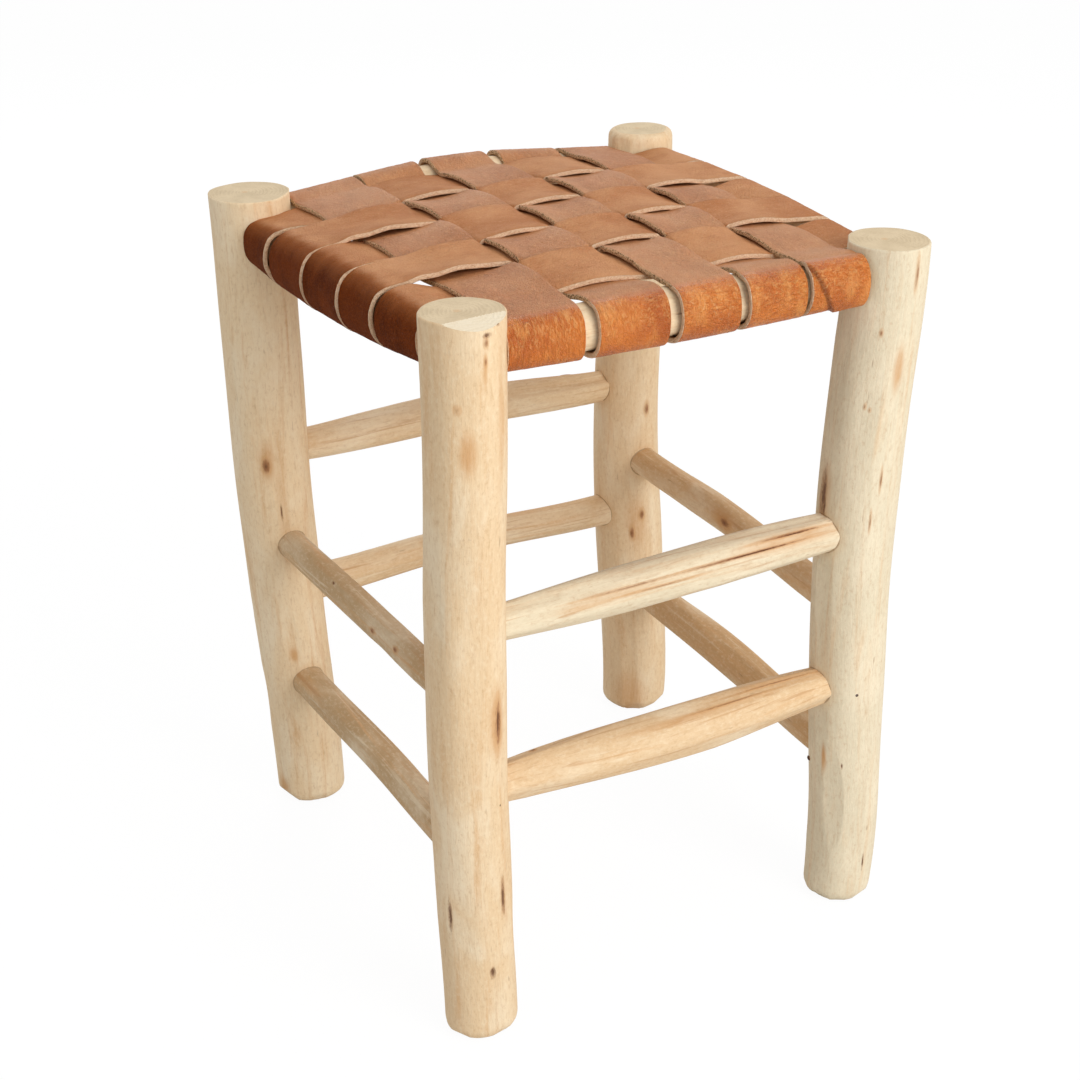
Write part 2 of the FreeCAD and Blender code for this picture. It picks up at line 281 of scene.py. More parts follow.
# legs and sticks in mm; marks: kind, place along, facing in degrees, length, width, depth of a pit or strength
legs = dict(
    front_left=dict(
        foot=(-130, -141.5), top=(-127.5, -139), height=452.5, bow=(-2.9, 1.5), bowHeight=190,
        radii=(22, 22.4, 22.3), tone=0.4,
        chamfers=[(-85, 75, 11, "top"), (-150, 40, 1, "foot"), (-80, 35, 1.2, "foot")],
        marks=[
            ("knot", 220.8, -66, 34, 7.2, 0.6), ("stain", 220.8, -68, 50, 14, 0.6),
            ("pit", 220.8, -65, 24, 3, 0.7), ("pit", 103.1, -67, 24, 3, 0.4),
            ("pit", 92.4, -156, 20, 2.8, 0.6), ("pit", 52.3, -92, 8, 3.6, 1.4),
            ("pit", 446.4, -84, 2.6, 4.4, 0.2), ("knot", 442.8, -86, 6, 3, 0.7),
            ("knot", 433, -87, 6, 2.2, 0.5), ("pit", 450, -62, 2.6, 2.4, 0.3), ("stain", 428, -88, 22, 3, 0.7),
            ("pit", 337.6, -113, 1.2, 10, 0.1), ("pit", 338.6, -125, 1.4, 6, 0.1),
            ("stain", 384.6, -112, 28, 11, 0.8), ("stain", 103, -67, 34, 6, 0.55),
            ("stain", 400, -60, 90, 6, 0.4), ("knot", 408.5, -125, 5, 4, 0.25),
        ],
    ),
    back_left=dict(
        foot=(-129, 139), top=(-140.5, 136), height=448, bow=(-3.9, 2), bowHeight=250,
        radii=(23.8, 24.9, 25.2), tone=0.2,
        chamfers=[(-165, 35, 2.2, "foot"), (-100, 30, 1.2, "foot")],
        marks=[
            ("knot", 272.3, -116, 13, 6.2, 1), ("stain", 275, -114, 34, 13, 0.7),
            ("pit", 445, -104, 9, 0.8, 0.3), ("pit", 237.6, -100, 12, 1.3, 0.3),
            ("stain", 127.6, -110, 14, 7, 0.9), ("stain", 240, -98, 120, 8, 0.35),
            ("stain", 12, -166, 20, 14, 0.8),
        ],
    ),
    front_right=dict(
        foot=(138, -139.5), top=(138.5, -138.5), height=449, bow=(-5.6, 3), bowHeight=282,
        radii=(21.8, 24, 23.2), tone=-0.8,
        chamfers=[(-120, 40, 1.2, "foot"), (-75, 35, 1.2, "foot"), (-160, 40, 1.6, "foot")],
        marks=[
            ("knot", 435, -84, 20, 2.6, 0.6), ("knot", 401.8, -126, 5, 2.4, 0.6),
            ("knot", 357, -135, 4, 1.8, 0.5), ("knot", 355, -128, 3, 1.8, 0.4),
            ("stain", 379, -94, 34, 8, 0.75), ("pit", 296, 172, 30, 6, 0.9), ("pit", 288, 178, 16, 3, 0.6),
            ("stain", 296, 175, 45, 14, 0.6), ("stain", 114, -160, 26, 4, 1),
            ("pit", 111.2, -131, 4, 1.4, 0.3), ("pit", 33, -85, 12, 1.4, 0.4),
            ("knot", 311, -98, 16, 1.8, 0.7), ("knot", 284, -108, 14, 1.6, 0.6),
        ],
    ),
    back_right=dict(
        foot=(142, 133), top=(142, 136.5), height=453.5, bow=(-6.8, 3.6), bowHeight=260,
        radii=(24.3, 24, 21.9), tone=0.38, topRound=5.2,
        chamfers=[(-120, 35, 1.5, "foot"), (-60, 35, 1, "foot")],
        marks=[
            ("knot", 255.8, -85, 11, 4.5, 0.8), ("knot", 171.9, -95, 10, 4.5, 0.9),
            ("knot", 157.2, -114, 12, 4.5, 0.9), ("stain", 165, -105, 50, 20, 0.5),
            ("stain", 15, -130, 50, 30, 0.6),
        ],
    ),
)
legMake = dict(
    rowStep=0.0021, turns=96, endRows=26, footRound=0.008, topRound=0.0011, uneven=0.00042,
    shaves=16, shaveDepth=(0.00025, 0.0008), shaveReach=(0.018, 0.075), seed=11,
)

sticks = dict(
    rung_front_upper=dict(
        heights=(271, 271), radii=(10.6, 13.4, 12), tone=-0.65, uneven=0.6,
        marks=[
            ("knot", 150, 150, 110, 2.2, 0.8), ("knot", 185, 128, 60, 2, 0.7), ("pit", 160, 150, 50, 0.8, 0.5),
            ("pit", 188, 129, 30, 0.8, 0.4), ("knot", 75, 150, 70, 1.8, 0.5), ("knot", 95, 168, 50, 1.6, 0.5),
            ("stain", 185, 140, 90, 14, 0.6), ("stain", 60, 165, 90, 8, 0.4),
        ],
    ),
    rung_front_lower=dict(
        heights=(166.5, 164), radii=(11.5, 16.2, 11.7), bow=(0, 0, -2.5), tone=0.55,
        marks=[
            ("knot", 21.1, 63, 5, 4, 1), ("stain", 120, 120, 120, 6, 0.5), ("knot", 150, 118, 70, 1.8, 0.5),
            ("knot", 185, 100, 80, 1.6, 0.5), ("stain", 190, 95, 90, 12, 0.5),
        ],
    ),
    # the left rungs and the lower right rung have tones above 1, which add painted shade
    rung_left_upper=dict(
        heights=(211.5, 222.5), radii=(9.8, 9.6, 9.4), bow=(0, 0, 0.6), tone=1.55,
        marks=[("pit", 82.4, 132, 3, 2, 0.6), ("knot", 145.5, 168, 8, 4, 0.8), ("knot", 178, 155, 7, 4, 0.8)],
    ),
    rung_left_lower=dict(heights=(103, 120), radii=(11, 11.1, 10.8), bow=(0, 0, 2.5), tone=1.55),
    rung_back_upper=dict(
        heights=(272.5, 269.5), radii=(11, 13.4, 11), bow=(0, 0, 3), tone=0.45, uneven=0.5,
        marks=[("knot", 200, 70, 10, 6, 0.8), ("stain", 180, 80, 90, 12, 0.6)],
    ),
    rung_back_lower=dict(
        heights=(167.5, 170.5), radii=(12.2, 11.2, 11.6), bow=(0, 0, 4), tone=0.58, uneven=0.5,
        marks=[("stain", 160, 80, 100, 10, 0.5)],
    ),
    rung_right_upper=dict(
        heights=(214, 211.5), radii=(10.3, 10.8, 10.6), bow=(0, 0, 3.5), tone=0.85,
        marks=[("knot", 121.6, 164, 13, 7, 1), ("stain", 118, 160, 30, 16, 0.8)],
    ),
    rung_right_lower=dict(heights=(108.5, 104), radii=(11.5, 13.4, 11.5), bow=(0, 0, 3.2), tone=1.15, uneven=0.5),
    seat_rail_front=dict(
        heights=(432, 430.5), radii=(11.4, 13.6, 11.4), tone=0.2, uneven=0.1,
        marks=[
            ("pit", 62, -172, 6, 3, 0.4), ("pit", 55, 176, 12, 1, 0.4), ("pit", 106, -170, 7, 3.4, 0.4),
            ("pit", 102, 168, 14, 0.9, 0.3),
        ],
    ),
    seat_rail_back=dict(heights=(429, 429.5), radii=(11.4, 14.4, 11.4), bow=(0, 1, 5.5), tone=0.3, uneven=0.1),
    seat_rail_left=dict(heights=(421.5, 432.5), radii=(12, 17, 12), bow=(0.5, 0, 0), tone=0.3, uneven=0.1),
    seat_rail_right=dict(heights=(431, 426), radii=(11.4, 14.4, 11.4), bow=(2, 0, 0), tone=0.3, uneven=0.1),
)
stickMake = dict(
    rowStep=0.0019, turns=64, endRows=7, endRound=0.001, shoulderGap=0.0006, tenon=0.01,
    uneven=0.0004, shaves=14, shaveDepth=(0.0003, 0.0011), shaveReach=(0.015, 0.07), seed=31,
)
barkMake = dict(
    lobes=(2, 3, 4, 5, 7), waves=(9, 23, 52), markRows=(-0.62, 0.62, 11), markTurns=(-0.75, 0.75, 9),
    leastRow=2e-4, leastTurn=0.006, faceShares=(0.04, 0.98), rimRows=6, knotRise=0.0006,
    farJoint=9, grainGap=0.73,
)


for spec in (*legs.values(), *sticks.values()):
    for key in spec.keys() - {"tone", "chamfers", "marks"}:
        spec[key] = np.array(spec[key]) / 1000  # metres
for node, stick in sticks.items():
    stick["legs"] = [name for name in sorted(legs) if set(name.split("_")) & set(node.split("_"))]


def legSpot(name, height):  # middle of a leg at a height
    leg = legs[name]
    above = (leg["height"] - height) / (leg["height"] - leg["bowHeight"])
    bend = np.minimum(height / leg["bowHeight"], above)
    share = height / leg["height"]
    foot, top, bow = (np.array(leg[key]) for key in ("foot", "top", "bow"))
    return np.array([*(foot + (top - foot) * share + bow * bend), height])


def legGirth(name, height):
    leg = legs[name]
    return np.polyval(np.polyfit([0, leg["bowHeight"], leg["height"]], leg["radii"], 2), height)


def legStem(name):
    leg = legs[name]
    bend, top = leg["bowHeight"], leg["height"]
    levels = [0, bend / 2, bend, (bend + top) / 2, top]
    curve = np.polyfit(levels, np.array([legSpot(name, level) for level in levels]), 4)
    return SimpleNamespace(
        centre=lambda along: np.stack([np.polyval(curve[:, k], along) for k in range(3)], -1),
        girth=lambda along: legGirth(name, along), length=top, axes=np.eye(3),
    )


def stickStem(stick):
    tenons = list(zip(stick["legs"], stick["heights"]))
    ends = [legSpot(*tenon) for tenon in tenons]
    reach = [legGirth(*tenon) + stickMake["shoulderGap"] for tenon in tenons]
    along = (ends[1] - ends[0]) / np.linalg.norm(ends[1] - ends[0])
    length = np.linalg.norm(ends[1] - ends[0]) - sum(reach)
    first = ends[0] + along * reach[0]
    upward = np.array([0, 0, 1.0]) - along * along[2]
    upward /= np.linalg.norm(upward)
    girth = np.polyfit([0, 0.5, 1], stick["radii"], 2)
    bow = np.array(stick.get("bow", (0, 0, 0)))

    def centre(at):
        swell = np.sin(np.pi * np.clip(at / length, 0, 1)) ** 2
        return first + np.multiply.outer(at, along) + np.multiply.outer(swell, bow)

    return SimpleNamespace(
        centre=centre, girth=lambda at: np.polyval(girth, np.clip(at / length, 0, 1)),
        length=length, axes=np.array([np.cross(upward, along), upward, along]),
    )


def turned(angle):  # an angle brought into half a turn either way
    return (angle + np.pi) % (2 * np.pi) - np.pi


def thinned(values, least):  # sorted, without near repeats
    values = np.sort(values)
    return values[np.concatenate([[True], np.diff(values) > least])]


def rowList(low, high, lowRound, highRound, make, extra):  # along, inset and share of the radius, end flag
    def endRows(end, inward, rounding):  # from the middle of an end face over its rim
        rows = [(end, rounding, share, 1.0) for share in np.linspace(*barkMake["faceShares"], make["endRows"])]
        for turn in np.linspace(0, np.pi / 2, barkMake["rimRows"]):
            drop = rounding * (1 - math.cos(turn))
            rows.append((end + inward * drop, rounding * (1 - math.sin(turn)), 1.0, float(turn < 0.3)))
        return rows

    count = int((high - low - lowRound - highRound) / make["rowStep"])
    side = list(np.linspace(low + lowRound, high - highRound, count)[1:-1])
    side += [at for at in extra if low + lowRound + 1e-4 < at < high - highRound - 1e-4]
    rows = endRows(low, 1, lowRound) + [(at, 0.0, 1.0, 0.0) for at in thinned(side, barkMake["leastRow"])]
    return np.array(rows + endRows(high, -1, highRound)[::-1])


def growStick(node, spec, stem, make, low, high, rounds, joints, seed):
    rng = np.random.default_rng(seed)
    bark = barkMake
    marks = [(kind, at / 1000, math.radians(facing), length / 1000, width / 1000, depth)
             for kind, at, facing, length, width, depth in spec.get("marks", ())]
    extraRows, extraTurns = [], []
    for kind, at, facing, length, width, depth in marks:
        if kind != "stain":
            around = width / stem.girth(at)
            extraRows += list(at + length * np.linspace(*bark["markRows"]))
            extraTurns += list(facing + around * np.linspace(*bark["markTurns"]))
    rows = rowList(low, high, *rounds, make, extraRows)
    evenTurns = np.linspace(0, 2 * np.pi, make["turns"], endpoint=False)
    turns = thinned(np.concatenate([evenTurns, np.array(extraTurns) % (2 * np.pi)]), bark["leastTurn"])
    along, inset, share, endFlag = (rows[:, k][:, None] for k in range(4))
    girth = stem.girth(along)
    angle = np.broadcast_to(turns[None, :], (len(rows), len(turns)))

    bumpy = np.zeros_like(angle)
    uneven = spec.get("uneven", make["uneven"])
    for lobes in bark["lobes"]:
        for waves in bark["waves"]:
            weight = uneven / (1 + 0.25 * lobes) * (bark["waves"][0] / waves) ** 0.4
            bumpy += weight * rng.normal() * np.cos(lobes * angle + rng.uniform(0, 6.28)) \
                * np.cos(waves * along + rng.uniform(0, 6.28))
    radius = (girth - inset + bumpy) * share
    point = np.stack([radius * np.cos(angle), radius * np.sin(angle), np.broadcast_to(along, angle.shape)], -1)

    def shave(direction, through, scoop=0.0):  # takes off what stands above a plane
        over = (point - through) @ direction - scoop
        point[...] -= direction * np.maximum(over, 0)[..., None]
        return over > 0.0001

    for _ in range(make["shaves"]):
        facing, place = rng.uniform(0, 2 * np.pi), rng.uniform(low, high)
        depth, reach = rng.uniform(*make["shaveDepth"]), rng.uniform(*make["shaveReach"])
        outward = np.array([math.cos(facing), math.sin(facing), 0.0])
        there = stem.girth(place)
        shave(outward, outward * (there - depth), depth * ((along - place) / reach) ** 2 + girth - there)
    endCut = np.array(np.broadcast_to(endFlag, angle.shape))
    for facing, tilt, width, end in spec.get("chamfers", ()):
        facing, tilt, top = math.radians(facing), math.radians(tilt), end == "top"
        level = np.array([math.cos(facing), math.sin(facing)])
        sign, place = (1, high) if top else (-1, low)
        rim = stem.girth(place) - width / 1000 - rounds[top] * 0.5
        outward = np.array([*(level * math.cos(tilt)), sign * math.sin(tilt)])
        cut = shave(outward, np.array([*(level * rim), place]))
        if top:
            endCut[cut] = 2.0

    fields = {"pit": np.full(angle.shape, -1.0), "stain": np.zeros(angle.shape), "knot": np.full(angle.shape, -1.0)}
    for kind, at, facing, length, width, depth in marks:
        away = np.hypot((along - at) / (length / 2), girth * turned(angle - facing) / (width / 2))
        if kind == "stain":
            soft = np.clip(1.25 - away, 0, 1)
            fields[kind] = np.maximum(fields[kind], depth * soft * soft * (3 - 2 * soft))
        else:
            inside = np.clip(1 - away, -1, 1)
            strength, sink = (1.0, depth / 1000) if kind == "pit" else (depth, -bark["knotRise"] * depth)
            fields[kind] = np.maximum(fields[kind], np.where(inside > 0, inside * strength, inside))
            soft = np.clip(inside, 0, 1)
            point[..., :2] *= (1 - sink * soft * (2 - soft) / girth)[..., None]

    side, upward, _ = stem.axes
    world = stem.centre(point[..., 2]) + point[..., :1] * side + point[..., 1:2] * upward
    gap = np.full(angle.shape, float(bark["farJoint"]))  # distance in mm to the nearest joint line
    for first, towards, mouth in joints:
        out = (world - first) @ towards
        away = np.linalg.norm(world - first - out[..., None] * towards, axis=-1)
        near = (away - mouth) * 1000
        gap = np.where((out > 0) & (np.abs(near) < np.abs(gap)), near, gap)

    count, around = angle.shape
    ring = np.arange(around)
    after = (ring + 1) % around
    base = np.arange(count - 1)[:, None] * around
    quads = np.stack([base + ring, base + after, base + around + after, base + around + ring], -1).reshape(-1, 4)
    last, pole = (count - 1) * around, count * around
    lowFan = np.stack([np.full(around, pole), after, ring], -1)
    topFan = np.stack([np.full(around, pole + 1), last + ring, last + after], -1)
    poles = np.array([stem.centre(end) for end in (low, high)])
    mesh = bpy.data.meshes.new(camel(node))
    mesh.from_pydata(np.concatenate([world.reshape(-1, 3), poles]).tolist(), [],
                     quads.tolist() + lowFan.tolist() + topFan.tolist())
    mesh.shade_smooth()

    def keep(name, field, poleValues):
        keepVectors(mesh, name, np.concatenate([field.reshape(-1, 3), poleValues]))

    start = seed * bark["grainGap"]
    keep("grainCo", point + np.array([0, 0, start]), [[0, 0, low + start], [0, 0, high + start]])
    keep("marks", np.stack(list(fields.values()), -1), [[-1, 0, -1]] * 2)
    keep("ends", np.stack([endCut, gap, np.full(angle.shape, spec["tone"])], -1),
         [[1, bark["farJoint"], spec["tone"]]] * 2)
    mesh.materials.append(paleWood)
    enlist(addObject(mesh.name, mesh), node)


def jointsAt(name):  # where the rungs and rails enter a leg
    found = []
    for stick in sticks.values():
        axis = stickStem(stick).axes[2]
        for end, sign in ((0, 1), (1, -1)):
            if stick["legs"][end] == name:
                found.append((legSpot(name, stick["heights"][end]), axis * sign, stick["radii"][2 * end]))
    return found


for number, (name, leg) in enumerate(legs.items()):
    rounds = (legMake["footRound"], leg.get("topRound", legMake["topRound"]))
    growStick("leg_" + name, leg, legStem(name), legMake, 0.0, leg["height"], rounds, jointsAt(name),
              legMake["seed"] + number)
print("legs done")

for number, (node, stick) in enumerate(sticks.items()):
    stem, tenon = stickStem(stick), stickMake["tenon"]
    growStick(node, stick, stem, stickMake, -tenon, stem.length + tenon, (stickMake["endRound"],) * 2, [],
              stickMake["seed"] + number)
print("rungs and rails done")

# leather

leatherLook = dict(
    tones(tan=(236, 134, 52), deep=(196, 98, 34), bright=(247, 165, 86), worn=(232, 170, 120),
            wornDeep=(204, 136, 88), wornBrown=(184, 124, 76), pale=(236, 186, 134), dark=(118, 52, 12),
            darkDeep=(94, 38, 8), crease=(88, 42, 20), scuff=(236, 178, 124), glint=(252, 192, 120),
            bend=(176, 104, 56), rawPale=(255, 222, 188), rawDark=(226, 174, 130), rawGold=(240, 200, 154),
            rawBrown=(136, 94, 60), flesh=(186, 140, 100)),
    scuffedStrap=8.658, roughTop=0.6, roughBend=0.24, roughDark=0.8, roughRaw=0.9,
    bump=(0.85, 0.0011),
)


def leatherMaterial(name, shine):
    look = leatherLook
    material, start, shader = newMaterial(name)
    at = attribute(start, "strapCo")
    edge, side, bend = parts(attribute(start, "strapFace"))
    turn, fold, sideways = parts(attribute(start, "strapWear"))  # angle round a rail, fold line, 1 on side straps

    cloud = noise(at, 24, 3, 0.55)
    whole = noise(at, (4, 4, 9), 0)  # each strap's own tone
    patch = noise(at, (50, 95, 60), 4, 0.6)
    pebble = at.node("ShaderNodeTexVoronoi", {"Vector": vectorMaths("MULTIPLY", at, (520, 900, 600)), "Scale": 1},
                     feature="DISTANCE_TO_EDGE")
    pores = noise(at, 1500, 2, 0.6)
    pull = noise(at, (300, 560, 300), 4, 0.65, 1.6)  # long wrinkles
    crinkle = noise(at, (230, 620, 300), 3, 0.65, 1.2)  # short wrinkles round a bend
    ripple = noise(at, (640, 330, 300), 3, 0.65, 1.2)
    folds = noise(at, (620, 120, 300), 3, 0.6, 0.6)
    mottle = noise(at, (260, 420, 300), 3, 0.65, 0.5)
    scuffs = noise(at, (36, 170, 60), 2, 0.55, 0.9)
    nap = noise(at, (620, 820, 600), 3, 0.7, 0.4)
    fuzz = noise(at, (800, 800, 800), 3, 0.75)
    thread = noise(at, (420, 2000, 1500), 2, 0.7)
    uneven = patch - 0.5

    bent = rise(turn + uneven * 0.35, 0.12, 0.62)
    grained = between(ripple, crinkle, rise(patch * 0.5 + whole * 0.5, 0.42, 0.58))
    # the band round a rail where the key lamp's highlight falls
    highlightBand = rise(turn, 0.3, 0.8) * fall(turn, 1.2, 1.8)
    scuffed = fall(size(scuffs - 0.52), 0, 0.02) * rise(turn, 0.7, 1.3) \
        * fall(size(part(at, 2) - look["scuffedStrap"]), 0.1, 0.2) * rise(patch, 0.38, 0.55)
    skin = layered(
        look, look["tan"],
        (cloud, 0.35, 0.68, 1, "deep"),
        (patch, 0.48, 0.7, 0.65, "bright"),
        (scuffed * 0.65, "scuff"),
        # painted glints: the grain's peaks lighter, strongest in the highlight band
        (grained, 0.44, 0.68, 0.1 + highlightBand * 0.38, "glint"),
        # painted shade in the grain's valleys
        (fall(grained, 0.3, 0.52) * 0.55, "deep"),
    )
    # painted shade: the side straps' wraps round the rails take a dark colour, lighter where each wrap starts and
    # still faces up, with painted glints on the grain's peaks
    dark = blend(rise(cloud + uneven * 0.4, 0.35, 0.68), look["dark"], look["darkDeep"])
    dark = blend(rise(grained, 0.5, 0.75) * 0.18, dark, look["bend"])
    dark = blend(rise(turn + uneven * 0.5, 0.3, 1.2), look["bend"], dark)
    top = layered(
        look, look["worn"],
        (cloud * 0.6 + whole * 0.4 + uneven * 0.4, 0.36, 0.66, 1, "wornDeep"),
        ((1 - sideways) * 0.45, "wornBrown"),
        (mottle, 0.5, 0.72, 0.34, "pale"),
        (nap, 0.5, 0.72, 0.3, "wornDeep"),
        (fall(nap, 0.3, 0.46) * 0.28, "pale"),
    )
    # the side straps take the painted shade colour on their wraps
    skin = blend((1 - bent) * held(0.65 + patch * 0.5), blend(sideways, skin, dark), top)
    lines = rise(pull, 0.46, 0.76) * (0.85 - bent * 0.65) * (1 - sideways * 0.4) \
        + rise(folds, 0.55, 0.75) * bend * 0.12
    skin = layered(
        look, skin,
        (held(lines * (0.05 + rise(cloud, 0.35, 0.7) * 0.3), 0, 0.6), "crease"),
        (fall(pebble, 0, 0.14) * 0.2, "deep"),
        # painted shade along the fold line of the turned-over corner
        (fold * 0.6, "crease"),
    )

    raw = blend(rise(fuzz * 0.6 + thread * 0.4, 0.4, 0.66), look["rawPale"], look["rawDark"])
    flecked = blend(rise(fuzz * 0.7 + thread * 0.3, 0.49, 0.57), look["rawGold"], look["rawBrown"])
    raw = blend((1 - sideways) * (1 - bent), raw, flecked)
    back = blend(rise(fuzz, 0.4, 0.65), look["flesh"], look["rawDark"])
    under = fall(side, -0.95, -0.8)
    rim = rise(edge + (fuzz - 0.5) * 0.24, 0.1, 0.26)
    colour = blend(rim, blend(under, skin, back), raw)
    rough = between(look["roughTop"], look["roughBend"], bent) + (pores - 0.5) * 0.2 + (cloud - 0.5) * 0.2
    rough = between(rough, look["roughDark"], bent * sideways)
    rough = between(rough, look["roughRaw"], most(under, rim))
    height = rise(pebble, 0, 0.2) * 0.3 + pores * 0.25 - nap * 0.5 - lines * 0.5 - pull * 0.6 + mottle * 0.5 \
        + grained * (0.3 + bent * 2.6) - scuffed * 0.3 + fuzz * rim * 0.7
    dress(shader, colour, rough, height, look["bump"])
    shader.inputs["Specular IOR Level"].default_value = shine
    return material


leathers = {"side": leatherMaterial("brownLeather", 0.07), "long": leatherMaterial("tanLeather", 0.4)}

strapMake = dict(
    count=5, thickness=0.0029, gap=0.0003, sag=-0.0015, over=1.35, under=1.1, outerDrop=0.45,
    fuller=0.0022, tuck=math.radians(232), rows=460, topVerts=30, edgeVerts=6, edgeRound=0.0004,
    fray=0.0005, wander=0.0009, ruck=0.00034, shingle=0.0016, gape=0.0026, corner=0.0009,
    foldLean=0.0094, foldStart=-0.0256, weld=0.00001,
)
strapFamilies = dict(  # shifts, widenings, the fold and the belly are in mm
    side=dict(
        rails=("seat_rail_left", "seat_rail_right"), width=0.0415, pitch=0.0455, middle=-0.002,
        other="long", turn=0, seed=3,
        nearShift=(-3.5, -4, -3.5, -4.5, 2.5), farShift=(-2, 1, -3, 1, 1),
        nearWiden=(1, 1, 15, 10, 1), farWiden=(2, 0, 1, 2, 2), fold=(0, 0, 0, 0, 0), belly=(0, 0, 0, 0, 12),
    ),
    long=dict(
        rails=("seat_rail_front", "seat_rail_back"), width=0.0395, pitch=0.0445, middle=0.005,
        other="side", turn=1, seed=20,
        nearShift=(-3, 3.5, 5.5, 4.5, 1), farShift=(-8.5, -7, -3, 3.5, 5),
        nearWiden=(5, 4, -2, -1, 0.5), farWiden=(8, 1.5, 1, 5, -2), fold=(0, 0, 0, 0, 1.8),
        belly=(0, 0, 0, 0, 0),
    ),
)


def strapPlaces(family):
    data, count = strapFamilies[family], strapMake["count"]
    return [data["middle"] + data["pitch"] * (number - (count - 1) / 2) for number in range(count)]


def railAt(node, across):  # place along the strap, height and radius of a rail where a strap crosses it
    stem = stickStem(sticks[node])
    runs = 0 if node.endswith(("front", "back")) else 1
    low, high = (stem.centre(end)[runs] for end in (0.0, stem.length))
    at = (across - low) / (high - low) * stem.length
    centre = stem.centre(at)
    return np.array([centre[1 - runs], centre[2], float(stem.girth(at))])


def strapShift(family, number, along):  # how far a strap has strayed from its place, part way along
    data = strapFamilies[family]
    ends = [railAt(rail, strapPlaces(family)[number])[0] for rail in data["rails"]]
    share = min(max((along - ends[0]) / (ends[1] - ends[0]), 0), 1)
    return (between(data["nearShift"][number], data["farShift"][number], share) + data["belly"][number] / 2) / 1000


def runHeight(family, across, along):
    ends = [railAt(rail, across) for rail in strapFamilies[family]["rails"]]
    tops = [end[1] + end[2] + strapMake["gap"] + strapMake["thickness"] / 2 for end in ends]
    return tops[0] + (tops[1] - tops[0]) * (along - ends[0][0]) / (ends[1][0] - ends[0][0])


def seatSurface():  # level, tilts, twist and curves of the woven seat, fitted at its crossings
    terms, levels = [], []
    halfX, halfY = (strapMake["count"] * strapFamilies[f]["pitch"] / 2 for f in ("long", "side"))
    midX, midY = (strapFamilies[f]["middle"] for f in ("long", "side"))
    for x in strapPlaces("long"):
        for y in strapPlaces("side"):
            dip = (1 - ((x - midX) / halfX) ** 2) * (1 - ((y - midY) / halfY) ** 2)
            levels.append((runHeight("side", y, x) + runHeight("long", x, y)) / 2 - strapMake["sag"] * dip)
            terms.append([1, x, y, x * y, x * x, y * y])
    return np.linalg.lstsq(np.array(terms), np.array(levels), rcond=None)[0]


seat = seatSurface()


def strapValues(family, number):  # the inputs of one strap
    data = strapFamilies[family]
    other, across = strapFamilies[data["other"]], strapPlaces(family)[number]
    values = {
        "turn": data["turn"], "place": across, "width": data["width"], "ownPitch": data["pitch"],
        "crossingPitch": other["pitch"], "crossingWidth": other["width"], "seed": number * 1.7 + data["seed"],
        "outerSide": {0: -1, strapMake["count"] - 1: 1}.get(number, 0),
        "startSide": 1 if (number % 2 == 0) == (family == "long") else -1,
    }
    for label in ("thickness", "tuck", "wander", "ruck"):
        values[label] = strapMake[label]
    for label in ("nearShift", "farShift", "nearWiden", "farWiden", "fold", "belly"):
        values[label] = data[label][number] / 1000
    for k, place in enumerate(strapPlaces(data["other"])):
        values["crossing%d" % k] = place + strapShift(data["other"], k, across)
    values.update(zip(("level", "tiltX", "tiltY", "twist", "curveX", "curveY"), seat))
    for end, rail in zip(("near", "far"), data["rails"]):
        slopes = (railAt(rail, across + 0.01) - railAt(rail, across - 0.01)) / 0.02
        words = ("Place", "Height", "Radius", "Drift", "Rise", "Taper")
        values.update({end + word: value for word, value in zip(words, (*railAt(rail, across), *slopes))})
    return {label: float(value) for label, value in values.items()}


def newTree(name, inputs):
    tree = bpy.data.node_groups.new(name, "GeometryNodeTree")
    for label, kind in inputs:
        tree.interface.new_socket(label, in_out="INPUT", socket_type=kind)
    tree.interface.new_socket("Geometry", in_out="OUTPUT", socket_type="NodeSocketGeometry")
    source = tree.nodes.new("NodeGroupInput")
    return tree, SimpleNamespace(**{label: Wire(tree, source.outputs[label]) for label, _ in inputs})


def smoothed(geometry):
    return geometry.node("GeometryNodeSetShadeSmooth", {"Geometry": geometry})


def closeTree(geometry, material):
    whole = geometry.node("GeometryNodeRealizeInstances", {0: geometry})
    painted = whole.node("GeometryNodeSetMaterial", {"Geometry": whole, "Material": material})
    show(painted, "NodeGroupOutput")


